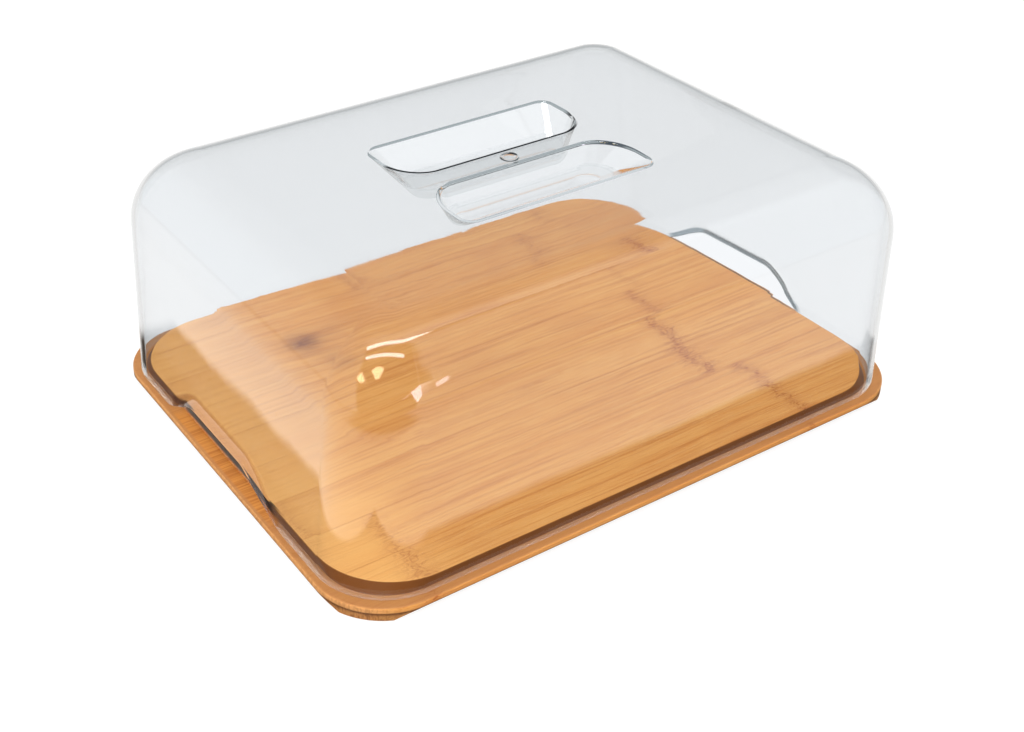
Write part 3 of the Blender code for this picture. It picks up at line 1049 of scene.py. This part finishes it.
def edge_highlight():
    """The cover's cut lower edge: clear, with a painted pale highlight in speckles."""
    material, tree = new_material("edge_highlight")
    coords = tree.coords()
    speckle = tree.noise(coords, scale=(240.0, 240.0, 500.0), detail=2.0, roughness=0.6)
    amount = tree.ramp(speckle, start=0.35, end=0.70, to_start=0.10, to_end=0.26)
    x, _, z = tree.split(coords)
    # the raised edge of the +X notch, with a grey-blue painted reflection
    far_reflection = tree.product(
        tree.ramp(x, start=0.05, end=0.12), tree.ramp(z, start=0.0078, end=0.0095)
    )
    amount = tree.maximum(amount, tree.product(far_reflection, 0.85))
    inputs = {
        "Base Color": tree.mix(far_reflection, rgb(226, 198, 182), rgb(112, 128, 136)),
        "Roughness": tree.ramp(speckle, start=0.3, end=0.7, to_start=0.10, to_end=0.30),
        "Normal": tree.bump(speckle, strength=0.3, distance=0.0002),
    }
    body = tree.filled("ShaderNodeBsdfPrincipled", inputs)
    clear = tree.filled("ShaderNodeBsdfTransparent", {"Color": (0.95, 0.94, 0.93, 1.0)})
    open_path = tree.subtract(1.0, tree.light_path()["Is Shadow Ray"])
    tree.output(tree.mix_shader(tree.product(amount, open_path), clear, body))
    return material


def make_cover():
    """The surface thickened inward, with the foot's cut edge slightly rounded."""
    surface = cover_surface()
    finishes = (clear_plastic(), edge_highlight())
    shell = link_object("cover_shell", surface, helpers, finishes)
    thick = shell.modifiers.new("wall", "SOLIDIFY")
    thick.thickness = WALL
    thick.offset = -1.0
    thick.use_even_offset = True
    thick.use_rim = True
    thick.material_offset_rim = 1
    edge = shell.modifiers.new("foot_edge", "BEVEL")
    edge.width = 0.45 * MM
    edge.segments = 3
    edge.limit_method = "ANGLE"
    edge.angle_limit = math.radians(60)
    solid = evaluated_bmesh(shell)
    bpy.data.objects.remove(shell, do_unlink=True)
    cover = link_object("clear_cover", solid, made, finishes)
    finish(cover, sharp_angle=40, part="cover", node="cover")


make_cover()
for helper in list(helpers.objects):
    bpy.data.objects.remove(helper, do_unlink=True)

# ------------------------------------------------------------------- floor
EDGE_GLOW = 0.45  # what light guided inside the cover's wall finds
INSIDE = (0.70, 0.755, 0.79)  # the most that light reflected inside the plastic finds
THROUGH = (0.965, 0.98, 1.0, 1.0)  # the pale backdrop as seen through the cover


def floor_sheet(tree):
    """How bright the table is in reflections: a sheet of light that starts a little
    way from the board and ends in a dark place on the camera's side."""
    x, y, _ = tree.split(tree.coords())
    away = tree.maximum(
        tree.subtract(tree.absolute(x), FOOT_W / 2),
        tree.subtract(tree.absolute(y), FOOT_D / 2),
    )
    towards_camera = tree.add(tree.product(x, -0.62), tree.product(y, -0.78))
    radius = tree.math("SQRT", tree.add(tree.product(x, x), tree.product(y, y)))
    aim = tree.divide(towards_camera, tree.add(radius, 0.001))
    dark_place = tree.product(
        tree.ramp(aim, start=0.68, end=0.90),
        tree.ramp(towards_camera, start=0.27, end=0.36),
    )
    beside = tree.maximum(
        tree.ramp(y, start=-0.106, end=-0.112), tree.ramp(x, start=-0.143, end=-0.149)
    )
    beside = tree.product(beside, tree.ramp(y, start=0.145, end=0.125))
    near_edge = tree.maximum(
        tree.ramp(away, start=0.0355, end=0.0425), tree.subtract(1.0, beside)
    )
    return tree.product(
        near_edge,
        tree.ramp(radius, start=2.5, end=0.9, to_start=0.6, to_end=1.0),
        tree.subtract(1.0, dark_place),
    )


def floor_finish():
    """A pale table, with its own look straight on, through the cover and mirrored."""
    material, tree = new_material("studio_floor")
    path = tree.light_path()
    mirrored = tree.bounced(path, "Glossy", least=1)
    guided = tree.bounced(path, "Glossy", least=2)
    sheet_glow = tree.multiply_add(floor_sheet(tree), factor=1.12, addend=0.05)
    within = tree.bounced(path, "Transmission", least=2)
    limit = tree.multiply_add(within, factor=-1.0, addend=1.75)
    sheet_glow = tree.math("MINIMUM", sheet_glow, limit)
    strength = tree.multiply_add(guided, tree.subtract(EDGE_GLOW, sheet_glow), sheet_glow)
    inputs = {"Color": (1.0, 0.985, 0.97, 1.0), "Strength": strength}
    glow = tree.filled("ShaderNodeEmission", inputs)
    pale = tree.filled("ShaderNodeBsdfDiffuse", {"Color": (0.78, 0.78, 0.78, 1.0)})
    faint = tree.filled("ShaderNodeBsdfDiffuse", {"Color": (0.22, 0.22, 0.22, 1.0)})
    lit = tree.filled("ShaderNodeEmission", {"Color": (0.85, 0.85, 0.85, 1.0)})
    direct = tree.filled("ShaderNodeAddShader", {0: faint, 1: lit})
    plain = tree.mix_shader(path["Is Camera Ray"], pale, direct)
    seen_through = tree.filled("ShaderNodeEmission", {"Color": THROUGH})
    transmitted = tree.bounced(path, "Transmission", least=1)
    looked_at = tree.mix_shader(transmitted, plain, seen_through)
    tree.output(tree.mix_shader(mirrored, looked_at, glow))
    return material


bm = bmesh.new()
bmesh.ops.create_circle(bm, cap_ends=True, segments=96, radius=6.0)
floor = link_object("studio_floor", bm, studio)
floor.location.z = -0.0002
floor.data.materials.append(floor_finish())

# ------------------------------------------------------------------- world
# Patches of light as convex outlines, anticlockwise. The window and its tail are in
# (x, z) of the ray's direction; the rest are in (x, y) on a ceiling at height 1.
CEILING_GAP = [
    (0.50, -0.165), (0.62, -0.15), (0.72, -0.125),
    (0.72, -0.115), (0.62, -0.10), (0.50, -0.095),
]
LAMP_END = [
    (0.235, -0.130), (0.497, -0.170), (0.520, -0.136),
    (0.520, -0.118), (0.497, -0.098), (0.235, -0.055),
]
WARM_NEAR = [
    (-0.651, -0.261), (-0.775, -0.555), (-0.658, -0.623),
    (-0.427, -0.504), (-0.346, -0.406), (-0.466, -0.277),
]
WARM_FAR = [
    (-1.267, -0.005), (-1.433, -0.229), (-1.271, -0.359), (-1.118, -0.361), (-0.938, -0.062),
]
WINDOW = [(0.2815, 0.078), (0.427, 0.150), (0.435, 0.353), (0.157, 0.363), (0.207, 0.2385)]
WINDOW_TAIL = [(-0.078, 0.279), (0.17, 0.335), (0.17, 0.36), (-0.078, 0.297)]
# Strip lights on the ceiling: one end, then the other.
TUBES = [
    ((-0.372, 0.228), (0.247, -0.095)),
    ((-0.54, 0.083), (-0.165, -0.153)),
    ((-0.175, -0.147), (0.190, -0.436)),
]
TUBE_HALF_WIDTH = 0.034
TUBE_END = 0.03  # how far a tube's ends fade
# The slit of light beside the window, as a sloping line in (x, z) of the direction.
SLIT_X, SLIT_Z, SLIT_SLOPE = 0.446, 0.245, 4.9
WHITE_TINT = (0.97, 0.99, 1.0)
WARM_LIGHT = (16.0, 12.5, 7.0)
WINDOW_LIGHT = (12.0, 11.0, 12.5)


def polygon(tree, axes, points, soft):
    """1 inside a convex patch, with edges this soft."""
    inside = 1.0
    for (start_x, start_y), (end_x, end_y) in zip(points, points[1:] + points[:1]):
        run = math.hypot(end_x - start_x, end_y - start_y)
        normal_x, normal_y = -(end_y - start_y) / run, (end_x - start_x) / run
        base = -(start_x * normal_x + start_y * normal_y)
        off = tree.multiply_add(axes[0], normal_x, base)
        off = tree.multiply_add(axes[1], normal_y, off)
        inside = tree.product(inside, tree.ramp(off, start=-soft, end=soft))
    return inside


def tube(tree, axes, start, end):
    """1 on a strip light between two points of the ceiling."""
    length = math.hypot(end[0] - start[0], end[1] - start[1])
    unit_x, unit_y = (end[0] - start[0]) / length, (end[1] - start[1]) / length
    from_x = tree.subtract(axes[0], start[0])
    from_y = tree.subtract(axes[1], start[1])
    along = tree.add(tree.product(from_x, unit_x), tree.product(from_y, unit_y))
    across = tree.add(tree.product(from_x, -unit_y), tree.product(from_y, unit_x))
    across = tree.absolute(across)
    ends = tree.band(along, first=(-TUBE_END, 0.0), second=(length + TUBE_END, length))
    sides = tree.ramp(across, start=TUBE_HALF_WIDTH * 1.4, end=TUBE_HALF_WIDTH)
    return tree.product(ends, sides)


def wall_light(tree, direction, y):
    """The walls of light: bright in front and at the left, dimmer behind."""
    length = math.hypot(1.0, 0.35)
    left = tree.node("ShaderNodeVectorMath", operation="DOT_PRODUCT")
    tree.feed(left.inputs[0], direction)
    left.inputs[1].default_value = (-1.0 / length, 0.35 / length, 0.0)
    low = tree.ramp(left.outputs["Value"], start=0.2, end=0.9)
    low = tree.add(0.55, tree.product(low, 0.5))
    front = tree.ramp(y, start=0.12, end=-0.10, to_start=0.55, to_end=1.12)
    return tree.maximum(low, front)


def dark_side(tree, x, y, z):
    """The dark side, where the camera stands: four flat bounds."""

    def frontward(x_weight, z_weight):
        sideways = tree.multiply_add(x, x_weight, tree.product(z, z_weight))
        return tree.add(sideways, tree.product(y, -1.0))

    low_right = tree.multiply_add(z, factor=0.70, addend=tree.subtract(0.25, x))
    return tree.product(
        tree.ramp(frontward(x_weight=-0.52, z_weight=0.03), start=-0.02, end=0.03),
        tree.ramp(frontward(x_weight=0.30, z_weight=0.32), start=-0.04, end=0.04),
        tree.ramp(x, start=0.447, end=0.438),
        tree.ramp(low_right, start=-0.05, end=0.03),
    )


def ceiling_ridge(tree, ceiling):
    """A soft band of light above a bent line across the ceiling."""
    line = tree.multiply_add(ceiling[0], factor=-0.52, addend=0.03)
    above = tree.subtract(ceiling[1], tree.maximum(line, -0.135))
    return tree.product(
        tree.band(above, first=(-0.03, 0.02), second=(0.34, 0.10)),
        tree.band(ceiling[0], first=(-0.50, -0.20), second=(0.95, 0.62)),
    )


def window_light(tree, x, y, z):
    facing = tree.ramp(y, start=0.0, end=-0.05)
    window = polygon(tree, (x, z), WINDOW, soft=0.014)
    tail = polygon(tree, (x, z), WINDOW_TAIL, soft=0.012)
    slit = tree.band(x, first=(0.4448, 0.4462), second=(0.4568, 0.4552))
    line = tree.multiply_add(x, SLIT_SLOPE, SLIT_Z - SLIT_X * SLIT_SLOPE)
    off_line = tree.absolute(tree.subtract(z, line))
    slit = tree.product(slit, tree.ramp(off_line, start=0.05, end=0.03))
    extras = tree.multiply_add(slit, factor=0.7, addend=tree.product(tail, 0.22))
    return tree.product(tree.add(window, extras), facing)


def coloured(tree, value, colour):
    inputs = {0: colour, "Scale": value}
    return tree.filled("ShaderNodeVectorMath", inputs, operation="SCALE")


def vector_sum(tree, first, second):
    return tree.filled("ShaderNodeVectorMath", {0: first, 1: second}, operation="ADD")


def reflected_room(tree):
    """The room as reflections find it."""
    direction = tree.coords("Generated")
    x, y, z = tree.split(direction)
    rise = tree.maximum(z, 0.05)
    ceiling = (tree.divide(x, rise), tree.divide(y, rise))
    up_only = tree.ramp(z, start=0.10, end=0.16)

    ridge = tree.product(ceiling_ridge(tree, ceiling), up_only, 0.80)
    light = tree.add(wall_light(tree, direction, y), ridge)
    light = tree.product(light, tree.subtract(1.0, dark_side(tree, x, y, z)))
    gap = polygon(tree, ceiling, CEILING_GAP, soft=0.012)
    light = tree.product(light, tree.multiply_add(gap, factor=-0.80, addend=1.0))
    light = tree.maximum(light, 0.02)

    first_tube, second_tube, third_tube = (tube(tree, ceiling, *ends) for ends in TUBES)
    lamp_end = polygon(tree, ceiling, LAMP_END, soft=0.008)
    lamps = tree.maximum(
        tree.maximum(first_tube, lamp_end), tree.maximum(second_tube, third_tube)
    )
    whites = tree.add(light, tree.product(lamps, up_only, 13.0))
    warm = tree.add(
        polygon(tree, ceiling, WARM_NEAR, soft=0.03),
        polygon(tree, ceiling, WARM_FAR, soft=0.05),
    )
    warm = tree.product(warm, up_only)
    tinted_lights = vector_sum(
        tree,
        coloured(tree, warm, WARM_LIGHT),
        coloured(tree, window_light(tree, x, y, z), WINDOW_LIGHT),
    )
    return vector_sum(tree, coloured(tree, whites, WHITE_TINT), tinted_lights)


def make_world():
    """Even light for soft rays, a pale backdrop for the eye, the room for mirrors."""
    world = bpy.data.worlds.new("studio")
    bpy.context.scene.world = world
    world.use_nodes = True
    world.node_tree.nodes.clear()
    tree = Tree(world.node_tree)

    def background(colour, strength):
        inputs = {"Color": colour, "Strength": strength}
        return tree.filled("ShaderNodeBackground", inputs)

    reflected = reflected_room(tree)
    path = tree.light_path()
    mirrored = tree.bounced(path, "Glossy", least=1)
    soft = tree.bounced(path, "Diffuse", least=1)
    guided = tree.bounced(path, "Glossy", least=2)
    through = tree.bounced(path, "Transmission", least=1)
    within = tree.bounced(path, "Transmission", least=2)
    seen = background(tree.mix(through, (1.0, 1.0, 1.0, 1.0), THROUGH), strength=1.0)
    fill = background((1.0, 0.995, 0.985, 1.0), strength=0.85)
    inputs = {0: reflected, 1: INSIDE}
    dimmed = tree.filled("ShaderNodeVectorMath", inputs, operation="MINIMUM")
    once = tree.mix(within, reflected, dimmed)
    edge_colour = (EDGE_GLOW * 0.90, EDGE_GLOW * 0.97, EDGE_GLOW, 1.0)
    room = background(tree.mix(guided, once, edge_colour), strength=1.0)
    direct = tree.mix_shader(soft, seen, fill)
    tree.output(tree.mix_shader(mirrored, direct, room), "World")


make_world()


# ------------------------------------------------------------------- lights
def area_light(name, location, target, size, power, colour=(1, 1, 1)):
    """A square light that reflections, refractions and the camera don't see."""
    data = bpy.data.lights.new(name, "AREA")
    data.energy = power
    data.color = colour
    data.shape = "RECTANGLE"
    data.size = size
    data.size_y = size
    lamp = bpy.data.objects.new(name, data)
    studio.objects.link(lamp)
    lamp.location = location
    aim = Vector(target) - Vector(location)
    lamp.rotation_mode = "QUATERNION"
    lamp.rotation_quaternion = aim.to_track_quat("-Z", "Y")
    lamp.visible_glossy = False
    lamp.visible_transmission = False
    lamp.visible_camera = False


area_light("overhead", location=(0.1, 0.1, 1.6), target=(0, 0, 0), size=1.6, power=13.5)
area_light(
    "front_left",
    location=(-0.85, -0.65, 0.72),
    target=(-0.08, -0.06, 0.0),
    size=0.8,
    power=9.0,
    colour=(1.0, 0.99, 0.96),
)

# ------------------------------------------------------------------- camera
CAMERA_PLACE = (-0.337652, -0.457901, 0.388701)
YAW = math.radians(32.5852)  # from +Y towards +X
PITCH_DOWN = math.radians(33.5607)
ROLL = math.radians(-0.4837)
SENSOR_WIDTH = 36.0  # millimetres, as is the lens
LENS = 50.7274453
SHIFT_X, SHIFT_Y = 0.086300781, -0.0126181641  # shares of the sensor's width

forward = Vector(
    (
        math.sin(YAW) * math.cos(PITCH_DOWN),
        math.cos(YAW) * math.cos(PITCH_DOWN),
        -math.sin(PITCH_DOWN),
    )
)
level_right = Vector((math.cos(YAW), -math.sin(YAW), 0.0))
level_up = level_right.cross(forward)
right = level_right * math.cos(ROLL) + level_up * math.sin(ROLL)
up = -level_right * math.sin(ROLL) + level_up * math.cos(ROLL)
camera = bpy.data.objects.new("camera", bpy.data.cameras.new("camera"))
studio.objects.link(camera)
camera.matrix_world = Matrix.Translation(CAMERA_PLACE) @ (
    Matrix((right, up, -forward)).transposed().to_4x4()
)
camera.data.sensor_width = SENSOR_WIDTH
camera.data.lens = LENS
camera.data.shift_x = SHIFT_X
camera.data.shift_y = SHIFT_Y
camera.data.clip_start = 0.01
camera.data.clip_end = 30.0
bpy.context.scene.camera = camera
bpy.context.scene.view_settings.view_transform = "Standard"
bpy.context.scene.view_settings.look = "None"
